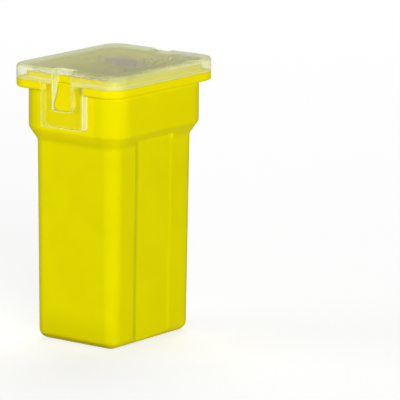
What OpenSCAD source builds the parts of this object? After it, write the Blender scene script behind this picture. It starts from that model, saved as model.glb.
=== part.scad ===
// Cartridge fuse with two female terminals.
// A yellow moulded housing holds one folded metal element. The element's two sprung receptacles
// open through the end face, and its fusible link arches across the head. A clear cover closes
// the head and catches on two lugs with a windowed latch on each narrow side.
//
// Frame: the fuse stands on its end face at z = 0, cover up. X runs across the two latches,
// Y across the broad faces, and the origin is the centre of the end face.

/* [Overall] */
// Height from the end face to the top of the cover
total_h = 26.5; // [24:0.5:32]
// Width of the rim and cover, across the latches
rim_w = 15.9; // [15:0.1:20]
// Depth of the rim and cover, across the broad faces
rim_d = 12.7; // [12.2:0.1:16]

/* [Housing] */
// Thickness of the rim that the cover sits on
rim_t = 0.86; // [0.6:0.02:1.2]
// Radius of the upright corners of the rim and cover
rim_corner_r = 1.8; // [1.4:0.1:2.4]
// Rounding of the lower edge of the rim
rim_edge_r = 0.25; // [0.1:0.05:0.4]
// How far the rim stands out past the head on the narrow sides, where the latches lie
side_overhang = 0.85; // [0.6:0.05:0.95]
// How far the rim stands out past the head on the broad sides
broad_overhang = 0.6; // [0.4:0.05:0.9]
// Height of the straight part of the head
head_h = 3.85; // [3:0.05:5]
// Height of the slope between head and body
taper_h = 1.25; // [0.8:0.05:2]
// How far the slope draws in on each side
inset = 0.86; // [0.46:0.02:0.96]
// Radius of the upright corners at the top of the body
body_corner_r = 1.3; // [1:0.1:1.8]
// How far each side of the body draws in from its top to its end face
draft = 0.2; // [0.1:0.05:0.3]
// Rounding where the slope meets the head
shoulder_r = 0.6; // [0.2:0.1:1]
// Rounding where the slope meets the body
neck_r = 0.8; // [0.2:0.1:1]
// Rounding of the edge all round the end face
end_edge_r = 0.9; // [0.3:0.05:1]
// Wall of the head around its cavity
head_wall = 1.2; // [0.9:0.05:1.5]
// Depth of the head's cavity below the rim's top
cavity_depth = 5.5; // [4.8:0.1:5.8]
// Radius of the cavity's upright corners
cavity_r = 0.9; // [0.4:0.1:1.4]

/* [Broad face panel] */
// Width of the panel's floor, which slopes from its deep side to its shallow side
panel_w = 4.6; // [3:0.1:6]
// Width of the slope at the panel's deep side
panel_slope = 0.7; // [0.3:0.05:1]
// Width of the slope at the panel's shallow side
shallow_slope = 0.35; // [0.2:0.05:1]
// Depth of the panel at its deep side
panel_depth = 0.2; // [0.1:0.05:0.4]
// Depth of the panel at its shallow side
panel_shallow = 0.06; // [0.04:0.02:0.1]
// How far the panel runs up into the slope below the head
panel_rise = 0.55; // [0.2:0.05:0.7]

/* [End face openings] */
// Thickness of the end wall
end_wall = 1.0; // [0.7:0.05:1.5]
// Length of each tall slot
slot_len = 6.3; // [6:0.1:6.8]
// Width of each tall slot
slot_w = 1.45; // [1.2:0.05:1.6]
// Length of the window beside each slot
window_len = 3.65; // [3:0.05:4.2]
// Width of the rib between the two windows
rib_w = 1.1; // [0.8:0.05:1.6]

/* [Cover] */
// Height of the cover above the rim
cover_h = 1.36; // [1.2:0.02:1.8]
// Thickness of the cover's plate
plate_t = 0.65; // [0.4:0.05:0.9]
// Wall of the skirt round the plate
skirt_wall = 1.0; // [0.9:0.05:1.3]
// Rounding of the cover's top edge
cover_edge_r = 0.35; // [0.1:0.05:0.5]
// Small edge break where cover and rim meet
seam_r = 0.05; // [0.05:0.05:0.2]
// Clearance between the skirt and the housing's lip
lip_fit = 0.1; // [0.05:0.05:0.2]
// Gap between the top of the lip and the plate
lip_gap = 0.06; // [0.04:0.02:0.2]

/* [Latches] */
// Width of each latch
latch_w = 4.9; // [4.2:0.1:5.6]
// How far each latch reaches below the rim's top
latch_reach = 4.2; // [3.6:0.05:4.5]
// Height of the bar below the latch's window
latch_bar = 1.7; // [1.2:0.05:1.9]
// Width of the latch's window
latch_window_w = 2.2; // [2:0.1:2.8]
// Depth of the notch where the window runs up through the plate
notch_depth = 1.0; // [0.8:0.05:1.4]
// Radius of the latch's lower corners
latch_corner_r = 0.3; // [0.1:0.05:0.5]
// Clearance behind the latch and beside it in the rim
latch_fit = 0.06; // [0.04:0.02:0.12]
// Clearance on each side of the lug in the window
lug_fit = 0.1; // [0.05:0.05:0.2]
// How far the lug stands out of the head
lug_out = 0.65; // [0.3:0.05:0.8]
// Height of the lug's full-depth foot
lug_foot = 0.5; // [0.3:0.05:0.8]
// Height of the lug above its foot
lug_slope_h = 1.7; // [1:0.1:1.9]
// Radius of the lug's lower corners
lug_corner_r = 0.45; // [0.2:0.05:0.6]

/* [Fuse element] */
// Thickness of the metal sheet
sheet_t = 0.3; // [0.2:0.05:0.4]
// Distance between the inner faces of the two receptacles
web_gap = 4.3; // [4.1:0.1:4.8]
// Width of each receptacle, over its rolled edges
receptacle_w = 6.2; // [5.8:0.1:6.4]
// Length of each receptacle
receptacle_len = 11.5; // [8:0.5:14]
// Outer radius of the rolled edges
roll_r = 0.85; // [0.7:0.05:0.9]
// How far round each edge is rolled, in degrees
roll_sweep = 240; // [180:5:250]
// Width of the shank above each receptacle
shank_w = 4.6; // [4:0.1:5.6]
// Width of the shoulders that sit on the cavity's floor
shoulder_w = 7.6; // [6.8:0.1:8]
// Height of the shoulders
shoulder_h = 1.0; // [0.6:0.1:1.4]
// Width of the arms above the shoulders
arm_w = 3.0; // [2:0.1:3.6]
// Height of the link's top above the cavity's floor
link_rise = 4.6; // [3.8:0.1:4.8]
// Inner radius of the bends between the arms and the link
bend_r = 1.0; // [0.6:0.1:1.4]
// Length of the narrow neck in the link
neck_len = 1.5; // [1.3:0.1:1.9]
// Width of the narrow neck
neck_w = 0.8; // [0.5:0.05:1.2]
// Clearance round the element in its chambers
element_fit = 0.05; // [0.03:0.01:0.1]

/* [Link tin] */
// Diameter of the tin slug on the neck
tin_dia = 1.3; // [1.1:0.1:1.5]
// Height of the tin slug
tin_h = 1.2; // [0.8:0.1:1.4]

/* [Hidden] */

$fn = 48;
slack = 0.5;                 // how far a cut runs past the face that it opens
least_r = 0.3;               // smallest corner radius of the lip
edge_slack = 0.05;           // least upright corner left inside the end face's rounding

// Heights, from the end face up
rim_top = total_h - cover_h;
rim_foot = rim_top - rim_t;
head_foot = rim_foot - head_h;
body_top = head_foot - taper_h;
cavity_floor = rim_top - cavity_depth;
latch_foot = rim_top - latch_reach;
bar_top = latch_foot + latch_bar;
lip_h = cover_h - plate_t - lip_gap;

// Plan sizes
head_w = rim_w - 2 * side_overhang;
head_d = rim_d - 2 * broad_overhang;
span_x = head_w - 2 * (body_corner_r + inset);   // between the centres of the body's corners
span_y = head_d - 2 * (body_corner_r + inset);
body_d = head_d - 2 * inset;
lip_w = rim_w - 2 * (skirt_wall + lip_fit);
lip_d = rim_d - 2 * (skirt_wall + lip_fit);
lip_r = max(least_r, rim_corner_r - skirt_wall - lip_fit);
draft_angle = atan(draft / body_top);
foot_r = body_corner_r - draft;                  // radius of the upright corners at the end face
end_r = min(end_edge_r, foot_r - edge_slack);    // the end face's rounding stays inside them

// Fuse element
web_x = web_gap / 2;                             // inner face of each receptacle's web
roll_x = web_x + roll_r;                         // centre line of the rolled edges
roll_y = receptacle_w / 2 - roll_r;
receptacle_foot = end_wall + element_fit;
receptacle_top = receptacle_foot + receptacle_len;
shoulder_top = cavity_floor + shoulder_h;
link_top = cavity_floor + link_rise;
bend_x = web_x - bend_r;                         // centre of each bend
bend_z = link_top - sheet_t - bend_r;

// Arc of radius r that rounds the corner at point p between its neighbours a and b
function unit(v) = v / norm(v);
function half_angle(p, a, b) = acos(unit(a - p) * unit(b - p)) / 2;
function arc_end(p, a, b, r) = p + unit(a - p) * r / tan(half_angle(p, a, b));
function arc_centre(p, a, b, r) = p + unit(unit(a - p) + unit(b - p)) * r / sin(half_angle(p, a, b));

module rounded_rect(w, d, r) {
    square([w - 2 * r, d], center = true);
    square([w, d - 2 * r], center = true);
    for (x = [-1, 1], y = [-1, 1])
        translate([x * (w / 2 - r), y * (d / 2 - r)])
            circle(r);
}

// Block with round upright corners centred on (cx, cy). Its child is its half section, which
// starts at the mid plane and carries its edge past the corner centre at $half.
module rounded_block(cx, cy) {
    for (x = [0, 1], y = [0, 1])
        mirror([x, 0, 0])
            mirror([0, y, 0])
                translate([cx, cy, 0])
                    rotate_extrude(angle = 90)
                        let ($half = 0) children();
    rotate([90, 0, 0])
        linear_extrude(2 * cy, center = true)
            for (side = [0, 1])
                mirror([side, 0])
                    let ($half = cx) children();
    rotate([90, 0, 90])
        linear_extrude(2 * cx, center = true)
            for (side = [0, 1])
                mirror([side, 0])
                    let ($half = cy) children();
}

// Half section of a plate of height h, whose edge stands r past the corner centre
// and is rounded below and above
module plate_section(h, r, low_r, high_r) {
    reach = $half + r;
    square([reach - max(low_r, high_r), h]);
    translate([0, low_r])
        square([reach, h - low_r - high_r]);
    translate([reach - low_r, low_r])
        circle(low_r);
    translate([reach - high_r, h - high_r])
        circle(high_r);
}

// Half section of the body, the slope and the head, up to the middle of the rim
module shell_section() {
    inner = [$half, 0];
    foot = [$half + foot_r, 0];
    neck = [$half + body_corner_r, body_top];
    shoulder = [$half + body_corner_r + inset, head_foot];
    head_end = [shoulder[0], rim_foot + rim_t / 2];
    difference() {
        union() {
            polygon([[0, 0], arc_end(foot, inner, neck, end_r),
                     arc_end(foot, neck, inner, end_r), arc_end(neck, foot, shoulder, neck_r),
                     arc_end(neck, shoulder, foot, neck_r),
                     arc_end(shoulder, neck, head_end, shoulder_r),
                     arc_end(shoulder, head_end, neck, shoulder_r), head_end, [0, head_end[1]]]);
            intersection() {
                square([foot[0], body_top]);
                translate(arc_centre(foot, inner, neck, end_r))
                    circle(end_r);
            }
            translate(arc_centre(shoulder, neck, head_end, shoulder_r))
                circle(shoulder_r);
        }
        translate(arc_centre(neck, foot, shoulder, neck_r))
            circle(neck_r);
    }
}

// Plate with the outline of the rim and cover
module rim_plate(h, low_r, high_r) {
    rounded_block(rim_w / 2 - rim_corner_r, rim_d / 2 - rim_corner_r)
        plate_section(h, rim_corner_r, low_r, high_r);
}

// The body's broad-face panel, cut along the drafted face up to just past the body's top
module panel_cut() {
    deep_end = -panel_w / 2 - panel_slope;
    shallow_end = panel_w / 2 + shallow_slope;
    translate([0, -body_d / 2, body_top])
        rotate([draft_angle, 0, 0])
            translate([0, 0, -body_top - slack])
                linear_extrude(body_top + slack + panel_rise)
                    polygon([[deep_end, 0], [-panel_w / 2, panel_depth],
                             [panel_w / 2, panel_shallow], [shallow_end, 0],
                             [shallow_end, -inset], [deep_end, -inset]]);
}

// One terminal chamber in plan: a wide bay for the receptacle and a window behind its web
module chamber_plan() {
    translate([web_x - element_fit, -receptacle_w / 2 - element_fit])
        square([2 * (roll_r + element_fit), receptacle_w + 2 * element_fit]);
    translate([rib_w / 2, -window_len / 2])
        square([web_x - rib_w / 2, window_len]);
}

// The opening in the end wall below one chamber
module slot_plan() {
    translate([web_x, -slot_len / 2])
        square([slot_w, slot_len]);
    translate([rib_w / 2, -window_len / 2])
        square([web_x - rib_w / 2 + slot_w / 2, window_len]);
}

// The lug that one latch catches on
module lug() {
    w = latch_window_w - 2 * lug_fit;
    h = lug_foot + lug_slope_h;
    intersection() {
        translate([head_w / 2 - slack, 0, bar_top])
            rotate([90, 0, 0])
                linear_extrude(w, center = true)
                    polygon([[0, 0], [slack + lug_out, 0], [slack + lug_out, lug_foot],
                             [slack, h], [0, h]]);
        translate([0, 0, bar_top])
            rotate([90, 0, 90])
                linear_extrude(rim_w) {
                    translate([-w / 2, lug_corner_r])
                        square([w, h]);
                    translate([-w / 2 + lug_corner_r, 0])
                        square([w - 2 * lug_corner_r, h]);
                    for (side = [-1, 1])
                        translate([side * (w / 2 - lug_corner_r), lug_corner_r])
                            circle(lug_corner_r);
                }
    }
}

module housing_shell() {
    rounded_block(span_x / 2, span_y / 2)
        shell_section();
    translate([0, 0, rim_foot])
        rim_plate(rim_t, rim_edge_r, seam_r);
    translate([0, 0, rim_foot + rim_t / 2])
        linear_extrude(rim_t / 2 + lip_h)
            rounded_rect(lip_w, lip_d, lip_r);
}

// What half of the housing loses: a panel, a terminal chamber with its opening, and
// the gap that a latch passes in the rim
module half_cuts() {
    panel_cut();
    translate([0, 0, end_wall])
        linear_extrude(total_h)
            chamber_plan();
    translate([0, 0, -slack])
        linear_extrude(end_wall + 2 * slack)
            slot_plan();
    translate([head_w / 2, -latch_w / 2 - latch_fit, rim_foot - slack])
        cube([rim_w, latch_w + 2 * latch_fit, rim_t + 2 * slack]);
}

module housing() {
    color([0.87, 0.83, 0.02]) {
        difference() {
            housing_shell();
            for (turn = [0, 180])
                rotate([0, 0, turn])
                    half_cuts();
            translate([0, 0, cavity_floor])
                linear_extrude(total_h)
                    rounded_rect(head_w - 2 * head_wall, head_d - 2 * head_wall, cavity_r);
        }
        for (turn = [0, 180])
            rotate([0, 0, turn])
                lug();
    }
}

// One latch below the skirt, with its window not yet cut
module latch_blank() {
    inner = head_w / 2 + latch_fit;
    translate([inner, 0, latch_foot])
        rotate([90, 0, 90])
            linear_extrude(rim_w / 2 - inner) {
                translate([-latch_w / 2, latch_corner_r])
                    square([latch_w, latch_reach]);
                translate([-latch_w / 2 + latch_corner_r, 0])
                    square([latch_w - 2 * latch_corner_r, latch_reach]);
                for (side = [-1, 1])
                    translate([side * (latch_w / 2 - latch_corner_r), latch_corner_r])
                        circle(latch_corner_r);
            }
}

module cover() {
    color([0.80, 0.82, 0.72, 0.55])
    difference() {
        union() {
            translate([0, 0, rim_top])
                rim_plate(cover_h, seam_r, cover_edge_r);
            for (turn = [0, 180])
                rotate([0, 0, turn])
                    latch_blank();
        }
        translate([0, 0, rim_top - slack])
            linear_extrude(slack + cover_h - plate_t)
                rounded_rect(lip_w + 2 * lip_fit, lip_d + 2 * lip_fit, lip_r + lip_fit);
        for (turn = [0, 180])
            rotate([0, 0, turn])
                translate([rim_w / 2 - notch_depth, -latch_window_w / 2, bar_top])
                    cube([rim_w, latch_window_w, total_h]);
    }
}

// Section of one receptacle: a flat web with both edges rolled outwards over the tab space
module receptacle_plan() {
    translate([web_x, -roll_y])
        square([sheet_t, 2 * roll_y]);
    for (side = [0, 1])
        mirror([0, side])
            translate([roll_x, roll_y])
                difference() {
                    circle(roll_r);
                    circle(roll_r - sheet_t);
                    polygon([[0, 0], [-2 * roll_r, 0], [-2 * roll_r, -2 * roll_r],
                             2 * roll_r * [cos(180 - roll_sweep), sin(180 - roll_sweep)]]);
                }
}

// The arms, bends and bridge of the link, as one bent strip seen along Y
module link_section() {
    for (side = [0, 1])
        mirror([side, 0]) {
            translate([web_x, shoulder_top])
                square([sheet_t, bend_z - shoulder_top]);
            translate([bend_x, bend_z])
                intersection() {
                    difference() {
                        circle(bend_r + sheet_t);
                        circle(bend_r);
                    }
                    square(2 * bend_r + sheet_t);
                }
            translate([0, link_top - sheet_t])
                square([bend_x, sheet_t]);
        }
}

module fuse_element() {
    color([0.78, 0.76, 0.72]) {
        for (turn = [0, 180])
            rotate([0, 0, turn]) {
                translate([0, 0, receptacle_foot])
                    linear_extrude(receptacle_len)
                        receptacle_plan();
                translate([web_x, -shank_w / 2, receptacle_top])
                    cube([sheet_t, shank_w, cavity_floor - receptacle_top]);
                translate([web_x, -shoulder_w / 2, cavity_floor])
                    cube([sheet_t, shoulder_w, shoulder_h]);
            }
        difference() {
            rotate([90, 0, 0])
                linear_extrude(arm_w, center = true)
                    link_section();
            for (side = [0, 1])
                mirror([0, side, 0])
                    translate([-neck_len / 2, neck_w / 2, link_top - sheet_t - slack])
                        cube([neck_len, arm_w, sheet_t + 2 * slack]);
        }
    }
}

module link_tin() {
    color([0.66, 0.68, 0.70])
    difference() {
        translate([0, 0, link_top - (sheet_t + tin_h) / 2])
            cylinder(tin_h, d = tin_dia);
        translate([-tin_dia, -neck_w / 2, link_top - sheet_t])
            cube([2 * tin_dia, neck_w, sheet_t]);
    }
}

housing();
cover();
fuse_element();
link_tin();
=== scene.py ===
import math
from mathutils import Matrix, Vector
import bpy


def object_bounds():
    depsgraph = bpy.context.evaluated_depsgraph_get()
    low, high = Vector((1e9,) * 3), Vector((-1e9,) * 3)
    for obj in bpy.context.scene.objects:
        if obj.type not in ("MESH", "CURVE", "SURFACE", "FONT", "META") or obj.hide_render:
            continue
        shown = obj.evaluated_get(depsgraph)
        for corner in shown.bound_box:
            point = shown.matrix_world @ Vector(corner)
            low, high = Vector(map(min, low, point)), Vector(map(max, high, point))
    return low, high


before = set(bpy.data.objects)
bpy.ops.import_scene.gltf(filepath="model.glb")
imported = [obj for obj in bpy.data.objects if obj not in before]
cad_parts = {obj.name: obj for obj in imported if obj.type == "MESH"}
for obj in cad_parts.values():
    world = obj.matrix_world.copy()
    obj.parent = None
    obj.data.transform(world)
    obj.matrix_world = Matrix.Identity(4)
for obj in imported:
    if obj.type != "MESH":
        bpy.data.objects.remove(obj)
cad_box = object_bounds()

# ---------------------------------------------------------------------------------------------
# Housing. One hollow moulding in yellow nylon, made in a two-part tool that leaves it satin, with
# drafted sides and a soft edge at every corner. It holds the metal element and takes the cover.
# ---------------------------------------------------------------------------------------------
HOUSING_YELLOW = (0.690, 0.628, 0.0, 1.0)
HOUSING_DEEP = (0.600, 0.535, 0.0, 1.0)
# A paler yellow, for a painted glow on thin walls, and for edges that are partly rubbed and partly a
# painted glow
HOUSING_RUB_AND_GLOW = (0.800, 0.695, 0.0, 1.0)
# A darker yellow, for painted shade at the foot
HOUSING_FOOT_SHADE = (0.380, 0.340, 0.0, 1.0)
HOUSING_SHEEN = (1.0, 0.93, 0.05, 1.0)
HOUSING_GLOSS = 0.02
HOUSING_SATIN = (0.46, 0.36)    # roughness of the skin, and of its rubs

# Widths of the shaders' edges and depths of their relief, in metres
HOUSING_EASE = 0.00015
HOUSING_RUB_AND_GLOW_WIDTH = 0.00012
HOUSING_GRAIN_DEPTH = 0.00002

# Places on the fuse in millimetres, as the materials read them, from the origin in its foot
MILLIMETRES = 1000.0
FUSE_TOP = cad_box[1][2] * MILLIMETRES
RIM_TOP = FUSE_TOP - 1.36
RIM_FOOT = RIM_TOP - 0.86
HEAD_FOOT = RIM_FOOT - 3.85
HEAD_SIDE = cad_box[1][0] * MILLIMETRES - 0.85
LATCH_SIDE = 2.45

# Where each tone, painted glow and painted shade begins and where it is full, and its share where it
# never covers the colour
RIM_GLOW = (RIM_FOOT - 0.68, RIM_FOOT + 0.22)
HEAD_GLOW = (HEAD_FOOT - 1.13, HEAD_FOOT + 0.17)
HEAD_GLOW_SHARE = 0.2
LATCH_GLOW_OUT = (HEAD_SIDE - 0.8, HEAD_SIDE)
LATCH_GLOW_ACROSS = (LATCH_SIDE + 1.45, LATCH_SIDE + 0.45)
FOOT_SHADE = (3.5, 1.0)
FOOT_SHADE_SHARE = 0.22
FOOT_ROUND = (0.75, 0.35)
HOUSING_RUB_AND_GLOW_SHARE = 0.5
FLOW_CLOUDS = (0.35, 0.75)
FLOW_SHARE = 0.35


def add(tree, kind, inputs, **settings):
    """Adds a node. Each input takes a plain value, or another node's output that is linked to it."""
    node = tree.nodes.new(kind)
    for setting, value in settings.items():
        setattr(node, setting, value)
    for socket, value in inputs.items():
        if isinstance(value, bpy.types.NodeSocket):
            tree.links.new(value, node.inputs[socket])
        else:
            node.inputs[socket].default_value = value
    return node


def calculate(tree, operation, *terms, **settings):
    """The outcome of one sum on numbers."""
    return add(tree, "ShaderNodeMath", dict(enumerate(terms)), operation=operation, **settings).outputs[0]


def calculate_vector(tree, operation, *terms):
    """The node for one sum on vectors."""
    return add(tree, "ShaderNodeVectorMath", dict(enumerate(terms)), operation=operation)


def split(tree, vector):
    """The X, Y and Z of a vector."""
    return add(tree, "ShaderNodeSeparateXYZ", {0: vector}).outputs


def ramp(tree, value, start, end, low=0.0, high=1.0, easing="LINEAR"):
    """A value that goes from low, where the given value is at start, to high, where it is at end."""
    sockets = {"Value": value, "From Min": start, "From Max": end, "To Min": low, "To Max": high}
    return add(tree, "ShaderNodeMapRange", sockets, interpolation_type=easing).outputs["Result"]


def fade(tree, value, start, end, most=1.0):
    """A mask that rises softly from 0 at start to the most at end."""
    return ramp(tree, value, start, end, high=most, easing="SMOOTHSTEP")


def blend(tree, share, first, second):
    """A colour between two others, with the given share of the second."""
    sockets = {"Factor": share, "A": first, "B": second}
    return add(tree, "ShaderNodeMix", sockets, data_type="RGBA").outputs["Result"]


def noise(tree, place, scale, detail, **more):
    """A cloudy pattern from 0 to 1, with its scale in clouds per millimetre."""
    sockets = {"Vector": place, "Scale": scale, "Detail": detail, **more}
    return add(tree, "ShaderNodeTexNoise", sockets).outputs["Fac"]


def relief(tree, height, strength, depth, **more):
    """The normal of a surface with a fine relief in it."""
    sockets = {"Height": height, "Strength": strength, "Distance": depth, **more}
    return add(tree, "ShaderNodeBump", sockets).outputs["Normal"]


def new_group(name, inputs, outputs):
    """An empty node group with its sockets: the group, what comes in and what goes out."""
    group = bpy.data.node_groups.new(name, "ShaderNodeTree")
    for socket, kind in inputs.items():
        group.interface.new_socket(socket, in_out="INPUT", socket_type=kind)
    for socket, kind in outputs.items():
        group.interface.new_socket(socket, in_out="OUTPUT", socket_type=kind)
    return group, group.nodes.new("NodeGroupInput").outputs, group.nodes.new("NodeGroupOutput").inputs


def new_finish(name):
    """A material with its node tree, its surface shader and the piece's own place in millimetres."""
    finish = bpy.data.materials.new(name)
    finish.use_nodes = True
    tree = finish.node_tree
    piece_place = tree.nodes.new("ShaderNodeTexCoord").outputs["Object"]
    sockets = {0: piece_place, "Scale": MILLIMETRES}
    place = add(tree, "ShaderNodeVectorMath", sockets, operation="SCALE").outputs[0]
    return finish, tree, tree.nodes["Principled BSDF"], place


def finish_node(name, finish):
    """Gives a CAD node its finish and leaves its shape as it is."""
    for material_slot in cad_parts[name].material_slots:
        material_slot.material = finish


# The skin of a moulding: a fine satin grain from the tool, the slow clouds that the plastic flowed
# in, and a few faint rubs from handling. The housing and the cover share it.
RUB_CLOUDS = (0.60, 0.78)
RUB_DRAG = (2.4, 2.4, 0.25)
RUB_TILT = (0.25, 0.15, 0.0)
moulded_skin, skin_in, skin_out = new_group(
    "moulded_skin",
    {"Place": "NodeSocketVector"},
    {"Grain": "NodeSocketFloat", "Flow": "NodeSocketFloat", "Rubs": "NodeSocketFloat"},
)
skin_place = skin_in["Place"]
sockets = {"Vector": skin_place, "Scale": RUB_DRAG, "Rotation": RUB_TILT}
rub_place = add(moulded_skin, "ShaderNodeMapping", sockets).outputs["Vector"]
grain = noise(moulded_skin, skin_place, scale=7.0, detail=3.0, Roughness=0.6)
flow = noise(moulded_skin, skin_place, scale=0.22, detail=2.0, Distortion=0.6)
rubs = ramp(moulded_skin, noise(moulded_skin, rub_place, scale=1.6, detail=4.0), *RUB_CLOUDS)
moulded_skin.links.new(grain, skin_out["Grain"])
moulded_skin.links.new(flow, skin_out["Flow"])
moulded_skin.links.new(rubs, skin_out["Rubs"])

# A normal that rounds every sharp edge by the given radius, as a mould or die leaves it
eased_edges, ease_in, ease_out = new_group(
    "eased_edges", {"Radius": "NodeSocketFloat"}, {"Normal": "NodeSocketVector"}
)
ease_round = add(eased_edges, "ShaderNodeBevel", {"Radius": ease_in["Radius"]}, samples=6)
eased_edges.links.new(ease_round.outputs["Normal"], ease_out["Normal"])

# The line along every edge, where a piece is rubbed, sheared, or painted with a highlight or glow: a
# rounding of the given width, from where it leaves the flat face to where it is fully turned, as cosines
# of the angle between the two
edge_lines, edge_in, edge_out = new_group(
    "edge_lines", {"Width": "NodeSocketFloat"}, {"Edge": "NodeSocketFloat"}
)
EDGE_TURN = (0.995, 0.90)
edge_round = add(edge_lines, "ShaderNodeBevel", {"Radius": edge_in["Width"]}, samples=8)
edge_flat = edge_lines.nodes.new("ShaderNodeNewGeometry")
edge_turn = calculate_vector(
    edge_lines, "DOT_PRODUCT", edge_round.outputs["Normal"], edge_flat.outputs["Normal"]
).outputs["Value"]
edge_lines.links.new(fade(edge_lines, edge_turn, *EDGE_TURN), edge_out["Edge"])

housing_finish, tree, shader, place = new_finish("housing_yellow")
skin = add(tree, "ShaderNodeGroup", {"Place": place}, node_tree=moulded_skin).outputs
edge = add(tree, "ShaderNodeGroup", {"Width": HOUSING_RUB_AND_GLOW_WIDTH}, node_tree=edge_lines).outputs["Edge"]
flow_share = ramp(tree, skin["Flow"], *FLOW_CLOUDS, high=FLOW_SHARE)
flow_tone = blend(tree, flow_share, HOUSING_YELLOW, HOUSING_DEEP)

# Painted glow: the rim, and the head with its cavity, most at the latches, are painted paler, as thin
# walls let more light through and the clear latches catch light
housing_spot = split(tree, place)
housing_half = split(tree, calculate_vector(tree, "ABSOLUTE", place).outputs["Vector"])
rim_painted_glow = fade(tree, housing_spot["Z"], *RIM_GLOW)
head_painted_glow = fade(tree, housing_spot["Z"], *HEAD_GLOW, most=HEAD_GLOW_SHARE)
latch_out = fade(tree, housing_half["X"], *LATCH_GLOW_OUT)
latch_painted_glow = fade(tree, housing_half["Y"], *LATCH_GLOW_ACROSS, most=latch_out)
side_painted_glow = calculate(tree, "MAXIMUM", head_painted_glow, latch_painted_glow)
painted_glow = calculate(tree, "MAXIMUM", side_painted_glow, rim_painted_glow)
painted_glow_tone = blend(tree, painted_glow, flow_tone, HOUSING_RUB_AND_GLOW)

# Painted shade: the narrow sides darken a little towards the foot, most on the rounding of the end face,
# where the table shades them
foot_shade = fade(tree, housing_spot["Z"], *FOOT_SHADE, most=FOOT_SHADE_SHARE)
foot_round = fade(tree, housing_spot["Z"], *FOOT_ROUND)
foot_painted_shade = calculate(tree, "MAXIMUM", foot_shade, foot_round)
housing_way = tree.nodes.new("ShaderNodeNewGeometry").outputs["Normal"]
narrow_way = calculate_vector(tree, "DOT_PRODUCT", housing_way, (1.0, 0.0, 0.0)).outputs["Value"]
narrow_side = calculate(tree, "ABSOLUTE", narrow_way)
foot_shade_share = calculate(tree, "MULTIPLY", foot_painted_shade, narrow_side)
foot_shaded_tone = blend(tree, foot_shade_share, painted_glow_tone, HOUSING_FOOT_SHADE)

# The colour, with edges that are partly rubbed and partly a painted glow, the satin of the skin with its
# rubs, and the soft edges under the grain
edge_rub_and_glow_tone = blend(tree, calculate(tree, "MULTIPLY", edge, HOUSING_RUB_AND_GLOW_SHARE), foot_shaded_tone, HOUSING_RUB_AND_GLOW)
satin = ramp(tree, skin["Rubs"], 0.0, 1.0, *HOUSING_SATIN)
ease = add(tree, "ShaderNodeGroup", {"Radius": HOUSING_EASE}, node_tree=eased_edges).outputs["Normal"]
texture = relief(tree, skin["Grain"], strength=0.25, depth=HOUSING_GRAIN_DEPTH, Normal=ease)
tree.links.new(edge_rub_and_glow_tone, shader.inputs["Base Color"])
tree.links.new(satin, shader.inputs["Roughness"])
tree.links.new(texture, shader.inputs["Normal"])
shader.inputs["Specular IOR Level"].default_value = HOUSING_GLOSS
shader.inputs["Specular Tint"].default_value = HOUSING_SHEEN
finish_node("housing", housing_finish)

# ---------------------------------------------------------------------------------------------
# Fuse element. One strip of tinned copper alloy, stamped, rolled into two sprung receptacles and
# bent over at the top into the link. It is pushed up into the housing from the end face.
# ---------------------------------------------------------------------------------------------
ELEMENT_TIN = (0.74, 0.72, 0.69, 1.0)
ELEMENT_DULL = (0.56, 0.54, 0.51, 1.0)
ELEMENT_COPPER = (0.72, 0.42, 0.26, 1.0)
ELEMENT_ROUGHNESS = (0.28, 0.46)
ELEMENT_DULL_CLOUDS = (0.42, 0.66)
ELEMENT_ROLLING = (9.0, 9.0, 0.7)
ELEMENT_EASE = 0.00004
ELEMENT_SHEARED_WIDTH = 0.00006
ELEMENT_LINE_DEPTH = 0.00001

element_finish, tree, shader, place = new_finish("element_tinned_copper")
sockets = {"Vector": place, "Scale": ELEMENT_ROLLING}
strip_place = add(tree, "ShaderNodeMapping", sockets).outputs["Vector"]
rolled = noise(tree, strip_place, scale=2.0, detail=4.0)
dull_patches = ramp(tree, noise(tree, place, scale=0.8, detail=5.0), *ELEMENT_DULL_CLOUDS)
tin_tone = blend(tree, dull_patches, ELEMENT_TIN, ELEMENT_DULL)
sheared = add(
    tree, "ShaderNodeGroup", {"Width": ELEMENT_SHEARED_WIDTH}, node_tree=edge_lines
).outputs["Edge"]
copper_tone = blend(tree, sheared, tin_tone, ELEMENT_COPPER)
ease = add(tree, "ShaderNodeGroup", {"Radius": ELEMENT_EASE}, node_tree=eased_edges).outputs["Normal"]
lines = relief(tree, rolled, strength=0.2, depth=ELEMENT_LINE_DEPTH, Normal=ease)
tree.links.new(copper_tone, shader.inputs["Base Color"])
tree.links.new(ramp(tree, rolled, 0.0, 1.0, *ELEMENT_ROUGHNESS), shader.inputs["Roughness"])
tree.links.new(lines, shader.inputs["Normal"])
shader.inputs["Metallic"].default_value = 1.0
finish_node("fuse_element", element_finish)

# ---------------------------------------------------------------------------------------------
# Link tin. A small slug of tin riveted on the neck of the link, where it melts into the strip
# when a light overload lasts. It is squeezed on, so its flat ends have a soft, uneven edge.
# ---------------------------------------------------------------------------------------------
TIN_GREY = (0.60, 0.61, 0.63, 1.0)
TIN_DARK = (0.42, 0.42, 0.44, 1.0)
TIN_ROUGHNESS = (0.35, 0.6)
TIN_EASE = 0.00015
TIN_DENT_DEPTH = 0.00005

tin_finish, tree, shader, place = new_finish("link_tin_dull")
crust = noise(tree, place, scale=3.5, detail=5.0)
ease = add(tree, "ShaderNodeGroup", {"Radius": TIN_EASE}, node_tree=eased_edges).outputs["Normal"]
dents = relief(tree, crust, strength=0.4, depth=TIN_DENT_DEPTH, Normal=ease)
tree.links.new(blend(tree, crust, TIN_GREY, TIN_DARK), shader.inputs["Base Color"])
tree.links.new(ramp(tree, crust, 0.0, 1.0, *TIN_ROUGHNESS), shader.inputs["Roughness"])
tree.links.new(dents, shader.inputs["Normal"])
shader.inputs["Metallic"].default_value = 1.0
finish_node("link_tin", tin_finish)

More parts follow.
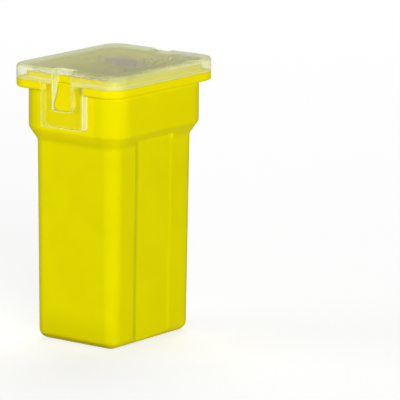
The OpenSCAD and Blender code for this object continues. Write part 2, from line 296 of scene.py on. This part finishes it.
# ---------------------------------------------------------------------------------------------
# Cover. A clear moulding with a windowed latch on each narrow side, pressed down over the lip
# until the windows catch on the lugs. The link is looked at through it.
# ---------------------------------------------------------------------------------------------
COVER_CLEAR = (1.0, 1.0, 0.97, 1.0)
COVER_CLOUDED = (0.78, 0.81, 0.57, 1.0)
COVER_BLOOM = (0.67, 0.68, 0.23, 1.0)
# A pale frost colour, for a painted highlight on the cover's edges and latches
COVER_EDGE_HIGHLIGHT = (0.70, 0.76, 0.44, 1.0)
COVER_GLOW = (0.76, 0.73, 0.22, 1.0)
COVER_SPECK = (0.55, 0.54, 0.38, 1.0)
COVER_SCAR = (0.53, 0.45, 0.40, 1.0)
COVER_LAMP_TINT = (0.95, 0.95, 0.92, 1.0)
COVER_IOR = 1.1
COVER_HAZE = (0.15, 0.30)       # roughness of the clear plastic, and of its rubs
COVER_EDGE_WIDTH = 0.0003
COVER_RIPPLE_DEPTH = 0.00002
COVER_PIT_DEPTH = 0.00011

# How much a face that looks along X, Y or Z clouds the plastic, and how much frost its skin has. Edges,
# whose frost is a painted highlight, and blemishes add to the frost, and a face that is seen from inside
# keeps a part of it.
CLOUD_WEIGHTS = (0.10, 0.45, 1.0)
FROST_WEIGHTS = (0.14, 0.55, 0.50)
LATCH_FROST_WEIGHTS = (0.0, 0.62, 0.90)
EDGE_FROST = 0.5
BLEMISH_FROST = 0.25
INNER_FROST = 0.2
FROST_ROUGHNESS = 0.5
FROST_GLOSS = 0.2

# Where the cover's marks and the painted glow at the skirt's foot begin and where they are full, in
# millimetres, and their turns in radians
LATCH_TOP = RIM_TOP - 0.04
SKIRT_FOOT = (RIM_TOP + 0.61, RIM_TOP + 0.31)
SKIRT_FOOT_SHARE = 0.75
SCAR_PLACE = (-0.5, -1.4, FUSE_TOP)
SCAR_TURN = (0.0, 0.0, -0.35)
SCAR_SHAPE = (0.8, 1.5, 1.0)
SCAR_REACH = (4.7, 2.0)
SCAR_RAGGED = 3.5
SPECK_TURN = (0.0, 0.0, 0.64)
SPECK_SHAPE = (1.7, 1.0, 1.0)
SPECK_CLOUDS = (0.50, 0.62)
SPECK_SIDE = (-0.5, -3.5)
SPECK_SHARE = 0.8

cover_finish, tree, shader, place = new_finish("cover_clear")
skin = add(tree, "ShaderNodeGroup", {"Place": place}, node_tree=moulded_skin).outputs
edge = add(tree, "ShaderNodeGroup", {"Width": COVER_EDGE_WIDTH}, node_tree=edge_lines).outputs["Edge"]
face = tree.nodes.new("ShaderNodeNewGeometry").outputs
face_way = calculate_vector(tree, "ABSOLUTE", face["Normal"]).outputs["Vector"]
face_up = split(tree, face_way)["Z"]
cover_spot = split(tree, place)

# The plate and the broad sides are clouded, and the latch faces are clear
clouded = calculate_vector(tree, "DOT_PRODUCT", face_way, CLOUD_WEIGHTS).outputs["Value"]
haze = ramp(tree, skin["Rubs"], 0.0, 1.0, *COVER_HAZE)
ripple = relief(tree, skin["Grain"], strength=0.15, depth=COVER_RIPPLE_DEPTH)
tree.links.new(blend(tree, clouded, COVER_CLEAR, COVER_CLOUDED), shader.inputs["Base Color"])
tree.links.new(haze, shader.inputs["Roughness"])
tree.links.new(ripple, shader.inputs["Normal"])
shader.inputs["Transmission Weight"].default_value = 1.0
shader.inputs["IOR"].default_value = COVER_IOR

# The frosted skin is thin on the plate and the broad sides, and heavy on the latches' cut sides, where it
# is a painted highlight
on_latch = calculate(tree, "LESS_THAN", cover_spot["Z"], LATCH_TOP)
sockets = {"Factor": on_latch, "A": FROST_WEIGHTS, "B": LATCH_FROST_WEIGHTS}
skin_weights = add(tree, "ShaderNodeMix", sockets, data_type="VECTOR").outputs["Result"]
frost_share = calculate_vector(tree, "DOT_PRODUCT", face_way, skin_weights).outputs["Value"]
edge_share = calculate(tree, "MULTIPLY_ADD", edge, EDGE_FROST, frost_share)

# Painted glow: at the foot of the skirt, where it meets the rim, the frost grows heavy and takes the
# rim's colour, for the rim's light seen through it
foot = fade(tree, cover_spot["Z"], *SKIRT_FOOT, most=SKIRT_FOOT_SHARE)
off_latch = calculate(tree, "SUBTRACT", 1.0, on_latch)
skirt_foot_glow = calculate(tree, "MULTIPLY", foot, off_latch)
frosted = calculate(tree, "MAXIMUM", edge_share, skirt_foot_glow)
outer_share = ramp(tree, face["Backfacing"], 0.0, 1.0, low=1.0, high=INNER_FROST)
seen_share = calculate(tree, "MULTIPLY", frosted, outer_share)

# The gate's torn scar in the middle of the plate, and a scatter of specks beside it
sockets = {"Vector": place, "Location": SCAR_PLACE, "Rotation": SCAR_TURN, "Scale": SCAR_SHAPE}
scar_place = add(tree, "ShaderNodeMapping", sockets, vector_type="TEXTURE").outputs["Vector"]
scar_distance = calculate_vector(tree, "LENGTH", scar_place).outputs["Value"]
scar_noise = noise(tree, place, scale=1.6, detail=5.0)
scar_ragged = calculate(tree, "MULTIPLY_ADD", scar_noise, SCAR_RAGGED, scar_distance)
scar = fade(tree, scar_ragged, *SCAR_REACH)
sockets = {"Vector": place, "Rotation": SPECK_TURN, "Scale": SPECK_SHAPE}
speck_place = add(tree, "ShaderNodeMapping", sockets, vector_type="TEXTURE").outputs["Vector"]
speck_side = fade(tree, cover_spot["Y"], *SPECK_SIDE, most=SPECK_SHARE)
speck_noise = noise(tree, speck_place, scale=2.6, detail=3.0)
specks = fade(tree, speck_noise, *SPECK_CLOUDS, most=speck_side)
flat_scar = calculate(tree, "MULTIPLY", scar, face_up)
flat_blemish = calculate(tree, "MULTIPLY", calculate(tree, "MAXIMUM", scar, specks), face_up)

# The colour of the frost: specks and scar on the plate, a painted glow at the skirt's foot, and a pale
# painted highlight on the edges and all over the latches
speck_tone = blend(tree, flat_blemish, COVER_BLOOM, COVER_SPECK)
bloom_tone = blend(tree, flat_scar, speck_tone, COVER_SCAR)
glow_tone = blend(tree, skirt_foot_glow, bloom_tone, COVER_GLOW)
painted_edge_highlight = calculate(tree, "SUBTRACT", edge, skirt_foot_glow, use_clamp=True)
highlight_share = calculate(tree, "MAXIMUM", painted_edge_highlight, on_latch)
frost = add(tree, "ShaderNodeBsdfPrincipled", {
    "Base Color": blend(tree, highlight_share, glow_tone, COVER_EDGE_HIGHLIGHT),
    "Normal": relief(tree, flat_blemish, strength=1.0, depth=COVER_PIT_DEPTH, Normal=ripple),
    "Roughness": FROST_ROUGHNESS,
    "Specular IOR Level": FROST_GLOSS,
})

# What shows is the clear plastic where the skin is polished and the frost where it isn't. Lamp
# light passes through the cover to what is under it.
skin_share = calculate(tree, "MULTIPLY_ADD", flat_blemish, BLEMISH_FROST, seen_share, use_clamp=True)
skin_mix = add(tree, "ShaderNodeMixShader", {0: skin_share, 1: shader.outputs[0], 2: frost.outputs[0]})
let_through = add(tree, "ShaderNodeBsdfTransparent", {"Color": COVER_LAMP_TINT})
rays = tree.nodes.new("ShaderNodeLightPath").outputs
lit_through = add(tree, "ShaderNodeMixShader", {
    0: calculate(tree, "MAXIMUM", rays["Is Shadow Ray"], rays["Is Diffuse Ray"]),
    1: skin_mix.outputs[0],
    2: let_through.outputs[0],
})
tree.links.new(lit_through.outputs[0], tree.nodes["Material Output"].inputs["Surface"])
finish_node("cover", cover_finish)

# ---------------------------------------------------------------------------------------------
# Table and studio. A white table under an even white sky, with one low soft lamp by the camera, a
# weaker one on its left and the weakest high behind the fuse.
# ---------------------------------------------------------------------------------------------
TABLE_SIZE = 4.0
TABLE_DROP = 0.00003
TABLE_WHITE = (0.47, 0.47, 0.47, 1.0)
TABLE_LIFT = 0.69
AIR_WHITE = (1.0, 1.0, 1.0, 1.0)
AIR_LIGHT = 0.09
AIR_MIRRORED = 0.5
LAMP_DISTANCE = 0.60
FUSE_MIDDLE = Vector((0.0, 0.0, cad_box[1][2] / 2))


def background_share(tree, glossy=1.0):
    """1 for rays that see the background straight or through the cover, and glossy for mirrored ones."""
    rays = tree.nodes.new("ShaderNodeLightPath").outputs
    mirrored = calculate(tree, "MULTIPLY", rays["Is Glossy Ray"], glossy)
    seen = calculate(tree, "MAXIMUM", rays["Is Camera Ray"], mirrored)
    return calculate(tree, "MAXIMUM", seen, rays["Is Transmission Ray"])


def way_to(turn, tilt):
    """The direction of a place turned round from the broad face and tilted up, both in degrees."""
    turn, tilt = math.radians(turn), math.radians(tilt)
    return Vector((math.sin(turn) * math.cos(tilt), -math.cos(turn) * math.cos(tilt), math.sin(tilt)))


def soft_lamp(name, turn, tilt, size, watts):
    """A square soft lamp that faces the middle of the fuse."""
    way = way_to(turn, tilt)
    bpy.ops.object.light_add(type="AREA", location=FUSE_MIDDLE + way * LAMP_DISTANCE)
    lamp = bpy.context.view_layer.objects.active
    lamp.name = name
    lamp.data.size = size
    lamp.data.energy = watts
    lamp.rotation_mode = "QUATERNION"
    lamp.rotation_quaternion = way.to_track_quat("Z", "Y")


bpy.ops.object.select_all(action="DESELECT")
bpy.ops.mesh.primitive_plane_add(size=TABLE_SIZE, location=(0.0, 0.0, -TABLE_DROP))
table = bpy.context.view_layer.objects.active
table.name = "table_top"
table_finish = bpy.data.materials.new("table_white")
table_finish.use_nodes = True
tree = table_finish.node_tree
tree.nodes.clear()
paint = add(tree, "ShaderNodeBsdfDiffuse", {"Color": TABLE_WHITE})
lift = add(tree, "ShaderNodeEmission", {
    "Strength": calculate(tree, "MULTIPLY", background_share(tree), TABLE_LIFT),
})
lifted = add(tree, "ShaderNodeAddShader", {0: paint.outputs[0], 1: lift.outputs[0]})
under = tree.nodes.new("ShaderNodeNewGeometry")
from_below = tree.nodes.new("ShaderNodeBsdfTransparent")
one_sided = add(tree, "ShaderNodeMixShader", {
    0: under.outputs["Backfacing"],
    1: lifted.outputs[0],
    2: from_below.outputs[0],
})
add(tree, "ShaderNodeOutputMaterial", {"Surface": one_sided.outputs[0]})
table.data.materials.append(table_finish)

studio = bpy.data.worlds.new("studio")
bpy.context.scene.world = studio
studio.use_nodes = True
tree = studio.node_tree
air = tree.nodes["Background"]
air_level = ramp(tree, background_share(tree, AIR_MIRRORED), 0.0, 1.0, low=AIR_LIGHT)
tree.links.new(air_level, air.inputs["Strength"])
air.inputs["Color"].default_value = AIR_WHITE

soft_lamp("lamp_near", turn=-38, tilt=4, size=0.25, watts=5.35)
soft_lamp("lamp_side", turn=-140, tilt=8, size=0.40, watts=2.2)
soft_lamp("lamp_far", turn=120, tilt=50, size=0.40, watts=1.5)

# ---------------------------------------------------------------------------------------------
# Camera. A long lens a little above the fuse, turned to the corner between a narrow side and a
# broad face, with the fuse left of the middle of the frame.
# ---------------------------------------------------------------------------------------------
CAMERA_TURN = -53.19
CAMERA_TILT = 11.686
CAMERA_ROLL = 0.562
CAMERA_DISTANCE = 0.37942
CAMERA_ASIDE = 0.008187
CAMERA_DROP = 0.000294
CAMERA_LENS = 360.0
CAMERA_SENSOR = 36.0

back = way_to(CAMERA_TURN, CAMERA_TILT)
level = Vector((-back.y, back.x, 0.0)).normalized()
upright = back.cross(level)
roll = math.radians(CAMERA_ROLL)
side = level * math.cos(roll) + upright * math.sin(roll)
top = upright * math.cos(roll) - level * math.sin(roll)
spot = FUSE_MIDDLE + back * CAMERA_DISTANCE + side * CAMERA_ASIDE - top * CAMERA_DROP
bpy.ops.object.camera_add()
camera = bpy.context.view_layer.objects.active
camera.name = "camera_main"
camera.data.lens = CAMERA_LENS
camera.data.sensor_width = CAMERA_SENSOR
camera.data.clip_start = 0.01
camera.data.clip_end = 20.0
camera.matrix_world = Matrix((
    (side.x, top.x, back.x, spot.x),
    (side.y, top.y, back.y, spot.y),
    (side.z, top.z, back.z, spot.z),
    (0.0, 0.0, 0.0, 1.0),
))
bpy.context.scene.camera = camera
bpy.context.scene.view_settings.view_transform = "Standard"
